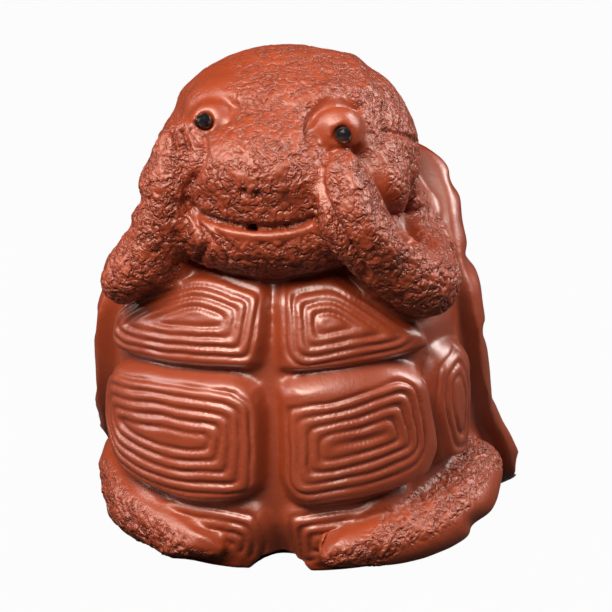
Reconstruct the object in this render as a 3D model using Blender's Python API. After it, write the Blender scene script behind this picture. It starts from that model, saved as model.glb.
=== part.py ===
"""Tea pet: a sitting turtle of fired red clay that props its cheeks on its front paws.

Metres, +Z up, the turtle looks along -Y, and the origin is the middle of the base.
The figure is one hollow piece of clay with a vent in its base, and two black beads are set in its eyes.
"""

import math

import bmesh
import bpy
from mathutils import Euler, Matrix, Vector
from mathutils.bvhtree import BVHTree

# Body under the shell plates: a squared egg, wider than it is deep
BELLY_HALF_WIDTH = 0.0262
BELLY_DEPTH = 0.0225
BELLY_BACK = -0.002
BELLY_MIDDLE = 0.026
BELLY_HALF_HEIGHT = 0.036
BELLY_SQUARENESS = 2.7
BODY_TOP = 0.054
BODY_FOOT = 0.003

# Upper shell: a dome behind the body, whose rim leans back at the shoulders and at the foot
SHELL_HALF_WIDTH = 0.0308
SHELL_MIDDLE = 0.022
SHELL_HALF_HEIGHT = 0.0428
SHELL_SQUARENESS = 2.7
SHELL_BACK = 0.029
SHELL_BOTTOM = 0.003
SHELL_TOP = 0.061
SHELL_PLATE = 0.005
SHELL_SHIFT = -0.0007
SHELL_LEAN = 0.04
RIM_FRONT = -0.0015
RIM_HEIGHT = 0.038
RIM_SWEEP = 0.0080
RIM_SWEEP_SPAN = 0.0200
SKIRT_FLARE = 0.0050
RIGHT_FLARE_SHARE = 0.2
SKIRT_HEIGHT = 0.009
SKIRT_SPREAD = 0.0060
WAIST_DEPTH = 0.0023
WAIST_HEIGHT = 0.0450
WAIST_SPREAD = 0.0060

# Belly shell: scutes in two columns, with one more round each side
SCUTE_SEAM = 0.0011
SCUTE_SHOULDER = 0.0018
SCUTE_CROWN = 0.0008
RING_PITCH = 0.00165
RING_GROOVE = 0.0007
RING_DEPTH = 0.00045
BELLY_PLATE = 0.005
BELLY_SEAM_LIFT = 0.0006
BELLY_SINK = 0.0020
UPPER_RISE = 0.0022
MIDDLE_RISE = 0.0028
LOWER_RISE = 0.0010
BRIDGE_RISE = 0.0018
LOWER_SEAM = 0.0115
LOWER_SEAM_RISE = 0.0035
BRIDGE_STEP = 0.0045
MIDDLE_SEAM = 0.0318
UPPER_EDGE = 0.0500
COLUMN_ANGLE = 56.0
SIDE_ANGLE = 88.0
LEFT_SPREAD = 1.28
ARCH_HALF_WIDTH = 0.0055
ARCH_HEIGHT = 0.0036
ARCH_REACH = 0.0120
ARCH_SHIFT = 0.0010

# Back scutes
BACK_ROWS = 5
BACK_HALF_WIDTH = 0.0085
BACK_NOTCH = 0.0030
FLANK_REACH = 0.0310
BACK_SEAM = 0.0006
BACK_SHOULDER = 0.0012
BACK_RISE = 0.0010

# Head: a broad rounded block that turns a little to the turtle's right
HEAD_TURN = 4.5
HEAD_HEIGHT = 0.0615
HEAD_HALF_WIDTH = 0.0206
HEAD_HALF_DEPTH = 0.0190
HEAD_HALF_HEIGHT = 0.0168
HEAD_BACK = 0.003
BROW_HEIGHT = 0.0690
BROW_FORWARD = 0.0110
BROW_HALF_WIDTH = 0.0157
BROW_HALF_DEPTH = 0.0095
BROW_HALF_HEIGHT = 0.0075
MUZZLE_REACH = 0.0310
MUZZLE_HALF_WIDTH = 0.0135
MUZZLE_HALF_DEPTH = 0.0125
MUZZLE_HEIGHT = 0.0630
MUZZLE_HALF_HEIGHT = 0.0090
JAW_SETBACK = 0.0012
JAW_HALF_WIDTH = 0.0178
JAW_HALF_DEPTH = 0.0155
JAW_HEIGHT = 0.0538
JAW_HALF_HEIGHT = 0.0086
CHEEK_SPREAD = 0.0120
CHEEK_FORWARD = 0.0110
CHEEK_HEIGHT = 0.0585
CHEEK_RADIUS = 0.0085
CHEEK_HALF_DEPTH = 0.0102
NECK_HEIGHT = 0.0520
NECK_BACK = 0.0010
NECK_HALF_DEPTH = 0.0165
NECK_HALF_HEIGHT = 0.0110
NAPE_BACK = 0.0110
NAPE_HALF_DEPTH = 0.0124
NAPE_HALF_HEIGHT = 0.0085
MOUTH_HALF_WIDTH = 0.0108
MOUTH_HEIGHT = 0.0559
MOUTH_RISE = 0.0011
MOUTH_CUT = 0.0006
NOSTRIL_SPREAD = 0.00115
NOSTRIL_HEIGHT = 0.0614
NOSTRIL_RADIUS = 0.0005
EYE_SPREAD = 0.0096
EYE_SHIFT = 0.0012
EYE_DEPTH = 0.0172
EYE_HEIGHT = 0.0689
EYE_RADIUS = 0.0040
EYE_SOCKET = 0.0049
SOCKET_FORWARD = 0.0014
SOCKET_LIFT = 0.0006
LEFT_GAZE = (25.0, -0.04)
RIGHT_GAZE = (11.0, 0.26)
BEAD_RADIUS = 0.0013
BEAD_FIT = 0.0003

# Limbs, the turtle's left and right a little different as they are pressed on by hand
ELBOW_LIFT = 0.0045
ELBOW_RADIUS = 0.0054
SHOULDER_RISE = 0.0020
WRIST_RADIUS = 0.0049
PAW_RADIUS = 0.0042
HIP_HEIGHT = 0.0100
FOOT_HEIGHT = 0.0048
FOOT_ANGLE = 23.0
HIP_RADIUS = 0.0052
FOOT_RADIUS = 0.0030
TOE_RADIUS = 0.0011
TOE_LIFT = 0.0010
LEFT_LIMBS = {
    "elbow_height": 0.0452,
    "elbow_angle": 53.0,
    "paw": (0.0016, -0.0085, -0.0056),
    "bend": (-0.0022, -0.0050, 0.0),
    "leg_lift": 0.0032,
}
RIGHT_LIMBS = {
    "elbow_height": 0.0450,
    "elbow_angle": 49.0,
    "paw": (-0.0042, -0.0038, -0.0026),
    "bend": (0.0010, -0.0018, 0.0),
    "leg_lift": 0.0010,
}

# Making
CLAY_WALL = 0.0055
HOLLOW_TOP = 0.0460
TRUNK_TURNS = (22.0, 45.0, 68.0)
HEAD_TURNS = (36.0, 60.0)
HEAD_HOLLOW_SHARE = 0.45
VENT_RADIUS = 0.0062
SPOUT_RADIUS = 0.0006
SPOUT_SHIFT = 0.0004
BLEND_STEP = 0.0011
FORM_STEP = 0.0008
SKIN_FACES = 3900
CAVITY_STEP = 0.0013
CAVITY_FACES = 700

CLAY = ("red_clay", (0.42, 0.085, 0.040, 1.0), 0.42)
BEAD = ("black_glaze", (0.006, 0.006, 0.007, 1.0), 0.06)


def clear_scene():
    for old in list(bpy.data.objects):
        bpy.data.objects.remove(old)


def material(name, colour, roughness):
    made = bpy.data.materials.new(name)
    made.use_nodes = True
    shader = made.node_tree.nodes["Principled BSDF"]
    shader.inputs["Base Color"].default_value = colour
    shader.inputs["Roughness"].default_value = roughness
    shader.inputs["Metallic"].default_value = 0.0
    made.diffuse_color = colour
    return made


def add_object(name, mesh, helper=False):
    made = bpy.data.objects.new(name, mesh)
    bpy.context.scene.collection.objects.link(made)
    if helper:
        made.hide_render = True
        made.display_type = "WIRE"
    return made


def object_from(bm, name, helper=False):
    mesh = bpy.data.meshes.new(name)
    bmesh.ops.recalc_face_normals(bm, faces=bm.faces[:])
    bm.to_mesh(mesh)
    bm.free()
    return add_object(name, mesh, helper)


def applied(obj):
    """The object with its modifiers made part of its mesh."""
    graph = bpy.context.evaluated_depsgraph_get()
    mesh = bpy.data.meshes.new_from_object(obj.evaluated_get(graph))
    obj.modifiers.clear()
    obj.data = mesh
    return obj


# The two surfaces that the scutes lie on

def squared_egg(height, middle, half_height, squareness):
    """How much of its full girth an egg has at this height, from 0 to 1."""
    share = min(abs(height - middle) / half_height, 0.995)
    return (1 - share**squareness) ** (1 / squareness)


def hump(height, middle, spread):
    return math.exp(-(((height - middle) / spread) ** 2))


def belly_point(angle, height, lift=0.0):
    """A point on the front of the body; angle is from the middle line, in degrees."""
    girth = squared_egg(height, BELLY_MIDDLE, BELLY_HALF_HEIGHT, BELLY_SQUARENESS)
    turn = math.radians(angle)
    across = (BELLY_HALF_WIDTH * girth + lift) * math.sin(turn)
    forward = (BELLY_DEPTH * girth + lift) * math.cos(turn)
    return Vector((across, BELLY_BACK - forward, height))


def rim_line(height):
    """How far back the shell's rim lies at this height."""
    return RIM_FRONT + RIM_SWEEP * ((height - RIM_HEIGHT) / RIM_SWEEP_SPAN) ** 2


def shell_point(angle, height, lift=0.0):
    """A point on the back; angle is from the spine, in degrees, and 90 is at the rim."""
    girth = squared_egg(height, SHELL_MIDDLE, SHELL_HALF_HEIGHT, SHELL_SQUARENESS)
    turn = math.radians(angle)
    side = abs(math.sin(turn)) ** 6
    share = 1.0 if angle > 0 else RIGHT_FLARE_SHARE
    flare = SKIRT_FLARE * share * hump(height, SKIRT_HEIGHT, SKIRT_SPREAD)
    waist = WAIST_DEPTH * hump(height, WAIST_HEIGHT, WAIST_SPREAD)
    across = SHELL_HALF_WIDTH * girth + lift + (flare - waist) * side
    rim = rim_line(height)
    dome = max(SHELL_BACK * girth - rim, SHELL_PLATE * 1.2)
    shift = SHELL_SHIFT + SHELL_LEAN * (height - SHELL_MIDDLE)
    return Vector((across * math.sin(turn) + shift, rim + (dome + lift) * math.cos(turn), height))


# Clay masses

def add_ball(bm, centre, radii, turn=(0, 0, 0)):
    """An ellipsoid; turn is in degrees about X, Y and Z."""
    rotation = Euler([math.radians(a) for a in turn]).to_matrix().to_4x4()
    scale = Matrix.Diagonal((*radii, 1.0))
    place = Matrix.Translation(centre) @ rotation @ scale
    bmesh.ops.create_icosphere(bm, subdivisions=3, radius=1.0, matrix=place)


def curve_through(points, share):
    """A point on a smooth curve through the points, with share from 0 to 1 along it."""
    last = len(points) - 1
    place = min(share, 0.99999) * last
    i = int(place)
    t = place - i
    a, b, c, d = (Vector(points[max(0, min(last, k))]) for k in (i - 1, i, i + 1, i + 2))
    bend = (2 * a - 5 * b + 4 * c - d) * t**2 + (3 * b - a - 3 * c + d) * t**3
    return 0.5 * (2 * b + (c - a) * t + bend)


def add_limb(bm, path, radii, balls=22):
    """A roll of clay along a path, as thick at each of its points as radii says."""
    stops = [Vector((r, 0, 0)) for r in radii]
    for i in range(balls + 1):
        share = i / balls
        radius = curve_through(stops, share).x
        add_ball(bm, curve_through(path, share), (radius, radius, radius))


def largest_piece(obj):
    """Leaves only the biggest closed skin, without any bubble or crumb."""
    bm = bmesh.new()
    bm.from_mesh(obj.data)
    pieces = []
    waiting = set(bm.verts)
    while waiting:
        piece = [waiting.pop()]
        for vert in piece:
            for edge in vert.link_edges:
                other = edge.other_vert(vert)
                if other in waiting:
                    waiting.remove(other)
                    piece.append(other)
        pieces.append(piece)
    pieces.sort(key=len)
    for piece in pieces[:-1]:
        bmesh.ops.delete(bm, geom=piece, context="VERTS")
    bm.to_mesh(obj.data)
    bm.free()
    return obj


def remeshed(obj, step, rounds):
    """One closed skin round everything in the object, with its creases softened."""
    skin = obj.modifiers.new("skin", "REMESH")
    skin.mode = "VOXEL"
    skin.voxel_size = step
    soften = obj.modifiers.new("soften", "SMOOTH")
    soften.factor = 0.5
    soften.iterations = rounds
    return largest_piece(applied(obj))


def thinned(obj, faces):
    """The same skin in about this many triangles, smaller where it curves."""
    obj.data.calc_loop_triangles()
    fewer = obj.modifiers.new("fewer", "DECIMATE")
    fewer.ratio = min(1.0, faces / len(obj.data.loop_triangles))
    return applied(obj)


def body_loft(bm, levels=16, steps=14):
    """The trunk: belly in front and shell behind, as closed rings joined one to the next."""
    rings = []
    for i in range(levels + 1):
        height = -BODY_FOOT + (BODY_TOP + BODY_FOOT) * i / levels
        front = [belly_point(-88 + 176 * k / steps, height) for k in range(steps + 1)]
        back = [shell_point(86 - 172 * k / steps, height, -SHELL_PLATE / 2) for k in range(steps + 1)]
        verts = [bm.verts.new(p) for p in front + back]
        rings.append([bm.edges.new((a, b)) for a, b in zip(verts, verts[1:] + verts[:1])])
    for lower, upper in zip(rings, rings[1:]):
        bmesh.ops.bridge_loops(bm, edges=lower + upper)
    for ring in (rings[0], rings[-1]):
        bmesh.ops.contextual_create(bm, geom=ring)


def head_place():
    """Turns the head's own frame about the neck."""
    return Matrix.Rotation(-math.radians(HEAD_TURN), 4, "Z")


def add_head(bm):
    masses = [
        ((0, -HEAD_BACK, HEAD_HEIGHT), (HEAD_HALF_WIDTH, HEAD_HALF_DEPTH, HEAD_HALF_HEIGHT)),
        ((0, JAW_HALF_DEPTH + JAW_SETBACK - MUZZLE_REACH, JAW_HEIGHT),
         (JAW_HALF_WIDTH, JAW_HALF_DEPTH, JAW_HALF_HEIGHT)),
        ((0, NECK_BACK, NECK_HEIGHT), (HEAD_HALF_WIDTH, NECK_HALF_DEPTH, NECK_HALF_HEIGHT)),
        ((0, NAPE_BACK, NECK_HEIGHT), (HEAD_HALF_WIDTH, NAPE_HALF_DEPTH, NAPE_HALF_HEIGHT)),
        ((0, -BROW_FORWARD, BROW_HEIGHT), (BROW_HALF_WIDTH, BROW_HALF_DEPTH, BROW_HALF_HEIGHT)),
        ((0, MUZZLE_HALF_DEPTH - MUZZLE_REACH, MUZZLE_HEIGHT),
         (MUZZLE_HALF_WIDTH, MUZZLE_HALF_DEPTH, MUZZLE_HALF_HEIGHT)),
        ((CHEEK_SPREAD, -CHEEK_FORWARD, CHEEK_HEIGHT), (CHEEK_RADIUS, CHEEK_HALF_DEPTH, CHEEK_RADIUS)),
        ((-CHEEK_SPREAD, -CHEEK_FORWARD, CHEEK_HEIGHT), (CHEEK_RADIUS, CHEEK_HALF_DEPTH, CHEEK_RADIUS)),
    ]
    for centre, radii in masses:
        add_ball(bm, head_place() @ Vector(centre), radii, (0, 0, -HEAD_TURN))


def eye_centre(side):
    return head_place() @ Vector((side * EYE_SPREAD + EYE_SHIFT, -EYE_DEPTH, EYE_HEIGHT))


def limbs(side):
    return LEFT_LIMBS if side > 0 else RIGHT_LIMBS


def add_arm(bm, side):
    """Out of the shell to the elbow on the shoulder, then up to the paw on the cheek."""
    sizes = limbs(side)
    elbow = belly_point(side * sizes["elbow_angle"], sizes["elbow_height"], ELBOW_LIFT)
    shoulder_height = sizes["elbow_height"] + SHOULDER_RISE
    shoulder = belly_point(side * sizes["elbow_angle"] * 1.7, shoulder_height, -ELBOW_LIFT)
    paw = eye_centre(side) + Vector(sizes["paw"])
    bend = Vector(sizes["bend"])
    path = [shoulder, elbow, elbow.lerp(paw, 0.30) + bend * 0.85, elbow.lerp(paw, 0.65) + bend, paw]
    add_limb(bm, path, [ELBOW_RADIUS, ELBOW_RADIUS, ELBOW_RADIUS * 0.94, WRIST_RADIUS, PAW_RADIUS])


def add_leg(bm, side):
    """Round the foot of the belly, from the hip under the shell to the toes in front."""
    path = []
    radii = []
    for share in (0.0, 0.25, 0.5, 0.75, 1.0):
        angle = 100 + (FOOT_ANGLE - 100) * share
        height = FOOT_HEIGHT + (HIP_HEIGHT - FOOT_HEIGHT) * (1 - share) ** 1.7
        path.append(belly_point(side * angle, height, limbs(side)["leg_lift"] + TOE_LIFT * share**3))
        radii.append(HIP_RADIUS + (FOOT_RADIUS - HIP_RADIUS) * share**2.5)
    add_limb(bm, path, radii)
    forward = (path[-1] - path[-2]).normalized()
    for k in (-1, 0, 1):
        root = path[-1] + Vector((0, 0, k * TOE_RADIUS * 1.5))
        tip = root + forward * (FOOT_RADIUS - abs(k) * TOE_RADIUS * 0.6)
        add_limb(bm, [root, tip], [TOE_RADIUS, TOE_RADIUS], balls=5)


def clay_body():
    """The trunk, head and limbs as one softened skin."""
    bm = bmesh.new()
    add_head(bm)
    body_loft(bm)
    core = remeshed(object_from(bm, "turtle_body"), BLEND_STEP, 7)

    sockets = bmesh.new()
    for side in (-1, 1):
        add_ball(sockets, eye_centre(side) + Vector((0, -SOCKET_FORWARD, SOCKET_LIFT)), [EYE_SOCKET] * 3)
    socket_cutter = object_from(sockets, "eye_sockets", helper=True)
    cut = core.modifiers.new("sockets", "BOOLEAN")
    cut.operation = "DIFFERENCE"
    cut.object = socket_cutter
    applied(core)

    bm = bmesh.new()
    bm.from_mesh(core.data)
    for side in (-1, 1):
        add_ball(bm, eye_centre(side), [EYE_RADIUS] * 3)
        add_arm(bm, side)
        add_leg(bm, side)
    bm.to_mesh(core.data)
    bm.free()
    remeshed(core, FORM_STEP, 3)
    return thinned(core, SKIN_FACES)


# Scute sheets

def scute_sheet(cells, seam, shoulder, base_lift, crown=0.0, rings=(0.0, 0.0, 0.0), cuts=2, sink=0.0):
    """A flat sheet of cells whose third coordinate is the lift; each rises from its seam.

    The rings cut in each are given by their pitch, the width of a groove and its depth.
    """
    pitch, groove, depth = rings
    bm = bmesh.new()
    known = {}
    scutes = []
    for corners, rise in cells:
        for x, y in corners:
            key = (round(x, 6), round(y, 6))
            if key not in known:
                known[key] = bm.verts.new((x, y, base_lift))
        outline = [known[(round(x, 6), round(y, 6))] for x, y in corners]
        scutes.append((bm.faces.new(outline), rise))
    bmesh.ops.recalc_face_normals(bm, faces=bm.faces[:])
    bm.normal_update()
    band = {}
    for face, rise in scutes:
        room = inner_radius(face)
        steps = [(seam, base_lift), (shoulder, base_lift + rise)]
        if pitch:
            steps[1:] = [(shoulder * 0.4, base_lift + rise * 0.6), (shoulder * 0.6, base_lift + rise)]
        used = seam + shoulder
        while pitch and used + pitch < room - groove / 2:
            top = base_lift + rise + crown * math.sqrt(used / room)
            steps += [(pitch - groove, top), (groove / 2, top - depth), (groove / 2, top)]
            used += pitch
        for number, (step, lift) in enumerate(steps):
            made = bmesh.ops.inset_individual(bm, faces=[face], thickness=step, use_even_offset=True)
            band.update({f: (face, number) for f in made["faces"]})
            for vert in face.verts:
                vert.co.z = lift
        band[face] = (face, len(steps))
    round_edges = [e for e in bm.edges if e.is_boundary or len({band[f] for f in e.link_faces}) > 1]
    bmesh.ops.subdivide_edges(bm, edges=round_edges, cuts=cuts, use_grid_fill=True)
    inside = [v for v in bm.verts if not v.is_boundary]
    for _ in range(2):
        bmesh.ops.smooth_vert(bm, verts=inside, factor=0.5,
                              use_axis_x=True, use_axis_y=True, use_axis_z=False)
    for vert in bm.verts:
        if vert.is_boundary:
            vert.co.z = -sink
    return bm


def inner_radius(face, grid=9):
    """The radius of the largest circle that fits in a cell, near enough."""
    corners = [v.co.xy for v in face.verts]
    sides = list(zip(corners, corners[1:] + corners[:1]))
    turn = 1 if face.normal.z > 0 else -1
    low = [min(c[i] for c in corners) for i in (0, 1)]
    high = [max(c[i] for c in corners) for i in (0, 1)]
    best = 0.0
    for i in range(1, grid):
        for k in range(1, grid):
            x = low[0] + (high[0] - low[0]) * i / grid
            y = low[1] + (high[1] - low[1]) * k / grid
            spot = Vector((x, y))
            best = max(best, min(turn * (b - a).normalized().cross(spot - a) for a, b in sides))
    return best


def plate_from(bm, thickness, surface, name):
    """Gives the sheet its thickness and bends it onto a surface."""
    made = bmesh.ops.extrude_face_region(bm, geom=bm.faces[:])["geom"]
    for vert in (g for g in made if isinstance(g, bmesh.types.BMVert)):
        vert.co.z = -thickness
    for vert in bm.verts:
        vert.co = surface(vert.co.x, vert.co.y, vert.co.z)
    return object_from(bm, name, helper=True)


def belly_cells():
    """Corners as arc length round the belly and height, with how far each scute stands up."""
    reach = math.radians(1) * BELLY_HALF_WIDTH
    cells = []
    for side, spread in ((1, 1.0), (-1, LEFT_SPREAD)):
        column = side * COLUMN_ANGLE * spread * reach
        edge = side * SIDE_ANGLE * reach
        foot = -BELLY_PLATE
        low_out = LOWER_SEAM + LOWER_SEAM_RISE
        tip = column + (edge - column) * 0.45
        tip_height = MIDDLE_SEAM + BRIDGE_STEP
        inner = [(0, LOWER_SEAM), (0, MIDDLE_SEAM), (0, UPPER_EDGE)]
        outer = [(column, low_out), (column, MIDDLE_SEAM)]
        cells += [
            ([(0, foot), (column, foot), outer[0], inner[0]], LOWER_RISE),
            ([inner[0], outer[0], outer[1], inner[1]], MIDDLE_RISE),
            ([inner[1], outer[1], (tip, tip_height), (tip, UPPER_EDGE), inner[2]], UPPER_RISE),
            ([outer[0], (edge, low_out), (edge, tip_height), (tip, tip_height), outer[1]], BRIDGE_RISE),
        ]
    return cells


def belly_plate():
    rings = (RING_PITCH, RING_GROOVE, RING_DEPTH)
    bm = scute_sheet(belly_cells(), SCUTE_SEAM, SCUTE_SHOULDER, BELLY_SEAM_LIFT, SCUTE_CROWN, rings,
                     cuts=3, sink=BELLY_SINK)

    def surface(x, y, lift):
        return belly_point(math.degrees(x / BELLY_HALF_WIDTH), y, lift)

    return plate_from(bm, BELLY_PLATE, surface, "belly_plate")


def back_cells():
    """Five plates down the spine, four on each flank between them, and a border round the rim."""
    row = (SHELL_TOP - SHELL_BOTTOM) / BACK_ROWS
    wide, narrow = BACK_HALF_WIDTH, BACK_HALF_WIDTH - BACK_NOTCH
    rim = math.radians(90) * SHELL_HALF_WIDTH
    middles = [SHELL_BOTTOM + (i + 0.5) * row for i in range(BACK_ROWS)]
    levels = [SHELL_BOTTOM] + middles + [SHELL_TOP]
    outlines = []
    for middle in middles:
        low, high = middle - row / 2, middle + row / 2
        right = [(narrow, low), (wide, middle), (narrow, high)]
        outlines.append(right + [(-x, y) for x, y in reversed(right)])
    for side in (-1, 1):
        for low, high in zip(middles, middles[1:]):
            joint = (low + high) / 2
            outlines.append([(side * narrow, joint), (side * wide, low), (side * FLANK_REACH, low),
                             (side * FLANK_REACH, high), (side * wide, high)])
        for end, middle in ((levels[0], middles[0]), (levels[-1], middles[-1])):
            outlines.append([(side * narrow, end), (side * FLANK_REACH, end),
                             (side * FLANK_REACH, middle), (side * wide, middle)])
        inside, outside = side * FLANK_REACH, side * rim
        for low, high in zip(levels, levels[1:]):
            outlines.append([(inside, low), (outside, low), (outside, high), (inside, high)])
    return [(outline, BACK_RISE) for outline in outlines]


def back_plate():
    bm = scute_sheet(back_cells(), BACK_SEAM, BACK_SHOULDER, 0.0, cuts=2)

    def surface(x, y, lift):
        return shell_point(math.degrees(x / SHELL_HALF_WIDTH), y, lift)

    return plate_from(bm, SHELL_PLATE, surface, "back_plate")


# Cuts

def box(low, high, name):
    bm = bmesh.new()
    size = Vector(high) - Vector(low)
    centre = (Vector(high) + Vector(low)) / 2
    place = Matrix.Translation(centre) @ Matrix.Diagonal((*size, 1.0))
    bmesh.ops.create_cube(bm, size=1.0, matrix=place)
    return object_from(bm, name, helper=True)


def rod(start, end, radius, sides, name):
    bm = bmesh.new()
    along = Vector(end) - Vector(start)
    turn = along.to_track_quat("Z", "Y").to_matrix().to_4x4()
    place = Matrix.Translation(Vector(start) + along / 2) @ turn
    bmesh.ops.create_cone(bm, cap_ends=True, segments=sides, radius1=radius, radius2=radius,
                          depth=along.length, matrix=place)
    return object_from(bm, name, helper=True)


def add_stepped_block(bm, low, high, turns, floor, top):
    """Blocks whose corners lie on one oval between low and high, so that they step round it."""
    middle = [(a + b) / 2 for a, b in zip(low, high)]
    half = [(b - a) / 2 for a, b in zip(low, high)]
    for turn in (math.radians(t) for t in turns):
        size = (2 * half[0] * math.cos(turn), 2 * half[1] * math.sin(turn), top - floor)
        place = Matrix.Translation((*middle, (floor + top) / 2)) @ Matrix.Diagonal((*size, 1.0))
        bmesh.ops.create_cube(bm, size=1.0, matrix=place)


def hollow():
    """The space scooped out of the trunk and up into the head, with a wall left round it."""
    bm = bmesh.new()
    half_width = BELLY_HALF_WIDTH - CLAY_WALL
    front = BELLY_BACK - BELLY_DEPTH + CLAY_WALL
    back = SHELL_BACK - SHELL_PLATE / 2 - CLAY_WALL
    add_stepped_block(bm, (-half_width, front), (half_width, back), TRUNK_TURNS, CLAY_WALL, HOLLOW_TOP)
    half_width = HEAD_HALF_WIDTH - CLAY_WALL
    half_depth = HEAD_HALF_DEPTH - CLAY_WALL
    top = HEAD_HEIGHT + (HEAD_HALF_HEIGHT - CLAY_WALL) * HEAD_HOLLOW_SHARE
    add_stepped_block(bm, (-half_width, -HEAD_BACK - half_depth), (half_width, half_depth - HEAD_BACK),
                      HEAD_TURNS, HOLLOW_TOP - CLAY_WALL, top)
    space = remeshed(object_from(bm, "hollow", helper=True), CAVITY_STEP, 5)
    return thinned(space, CAVITY_FACES)


def skin_finder(obj):
    bm = bmesh.new()
    bm.from_mesh(obj.data)
    tree = BVHTree.FromBMesh(bm)
    bm.free()
    return tree


def front_of(tree, x, z):
    """The point of the skin that a line from the front meets."""
    hit = tree.ray_cast(Vector((x, -0.1, z)), Vector((0, 1, 0)))[0]
    return hit if hit is not None else Vector((x, -MUZZLE_REACH, z))


def face_spot(tree, across, height):
    """The point of the face at this distance from its own middle line."""
    spot = head_place() @ Vector((across, -MUZZLE_REACH, height))
    return front_of(tree, spot.x, height)


def mouth_cutter(tree):
    """A thin roll along the smile, half sunk in the face."""
    path = bpy.data.curves.new("mouth_path", "CURVE")
    path.dimensions = "3D"
    path.bevel_depth = MOUTH_CUT
    path.bevel_resolution = 1
    path.use_fill_caps = True
    steps = 18
    smile = path.splines.new("POLY")
    smile.points.add(steps)
    for i, point in enumerate(smile.points):
        share = 2 * i / steps - 1
        spot = face_spot(tree, share * MOUTH_HALF_WIDTH, MOUTH_HEIGHT + MOUTH_RISE * share**2)
        point.co = (*spot, 1)
        point.radius = 1 - 0.5 * share**4
    roll = bpy.data.objects.new("mouth_roll", path)
    bpy.context.scene.collection.objects.link(roll)
    graph = bpy.context.evaluated_depsgraph_get()
    mesh = bpy.data.meshes.new_from_object(roll.evaluated_get(graph))
    bpy.data.objects.remove(roll)
    return add_object("mouth_line", mesh, helper=True)


def join_and_cut(body, added, removed):
    """Booleans, in order: everything added, then everything taken away."""
    for tool in added:
        step = body.modifiers.new(tool.name, "BOOLEAN")
        step.operation = "UNION"
        step.object = tool
    for tool in removed:
        step = body.modifiers.new(tool.name, "BOOLEAN")
        step.operation = "DIFFERENCE"
        step.object = tool
    return applied(body)


def build():
    clear_scene()
    clay = material(*CLAY)
    glaze = material(*BEAD)
    body = clay_body()
    tree = skin_finder(body)
    spout_mouth = face_spot(tree, SPOUT_SHIFT, MOUTH_HEIGHT)
    spout_start = spout_mouth - Vector((0, SPOUT_RADIUS * 3, 0))
    spout_end = Vector((spout_mouth.x, -HEAD_BACK, spout_mouth.z))
    arch = bmesh.new()
    place = (ARCH_SHIFT, BELLY_BACK - BELLY_DEPTH, -ARCH_HEIGHT)
    add_ball(arch, place, (ARCH_HALF_WIDTH, ARCH_REACH, ARCH_HEIGHT * 2))
    nostrils = bmesh.new()
    for side in (-1, 1):
        add_ball(nostrils, face_spot(tree, side * NOSTRIL_SPREAD, NOSTRIL_HEIGHT), [NOSTRIL_RADIUS] * 3)
    tools = [
        box((-0.1, -0.1, -0.05), (0.1, 0.1, 0.0), "table"),
        object_from(arch, "front_arch", helper=True),
        object_from(nostrils, "nostrils", helper=True),
        hollow(),
        rod((0, 0, -CLAY_WALL), (0, 0, CLAY_WALL * 2), VENT_RADIUS, 24, "vent"),
        mouth_cutter(tree),
        rod(spout_start, spout_end, SPOUT_RADIUS, 8, "spout"),
    ]
    beads = []
    for side, name in ((-1, "right_eye_bead"), (1, "left_eye_bead")):
        centre = eye_centre(side)
        out, up = LEFT_GAZE if side > 0 else RIGHT_GAZE
        turn = math.radians(out)
        gaze = head_place() @ Vector((side * math.sin(turn), -math.cos(turn), up))
        place = centre + gaze.normalized() * (EYE_RADIUS - BEAD_RADIUS * 0.35)
        bm = bmesh.new()
        seat = Matrix.Translation(place)
        bmesh.ops.create_icosphere(bm, subdivisions=2, radius=BEAD_RADIUS + BEAD_FIT, matrix=seat)
        tools.append(object_from(bm, name + "_seat", helper=True))
        bm = bmesh.new()
        bmesh.ops.create_icosphere(bm, subdivisions=2, radius=BEAD_RADIUS, matrix=seat)
        bead = object_from(bm, name)
        bead.data.materials.append(glaze)
        bead.data.shade_smooth()
        beads.append(bead)
    join_and_cut(body, [belly_plate(), back_plate()], tools)
    body.data.materials.clear()
    body.data.materials.append(clay)
    body.data.shade_smooth()
    body.data.set_sharp_from_angle(angle=math.radians(40))
    low = [min(v.co[i] for v in body.data.vertices) for i in range(3)]
    high = [max(v.co[i] for v in body.data.vertices) for i in range(3)]
    centring = Matrix.Translation((-(low[0] + high[0]) / 2, -(low[1] + high[1]) / 2, -low[2]))
    for obj in [body, *beads]:
        obj.data.transform(centring)


build()
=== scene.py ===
"""Looks of the tea pet: a sitting clay turtle with wrinkled skin, ring-carved scutes and beads for eyes."""

import math

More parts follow.
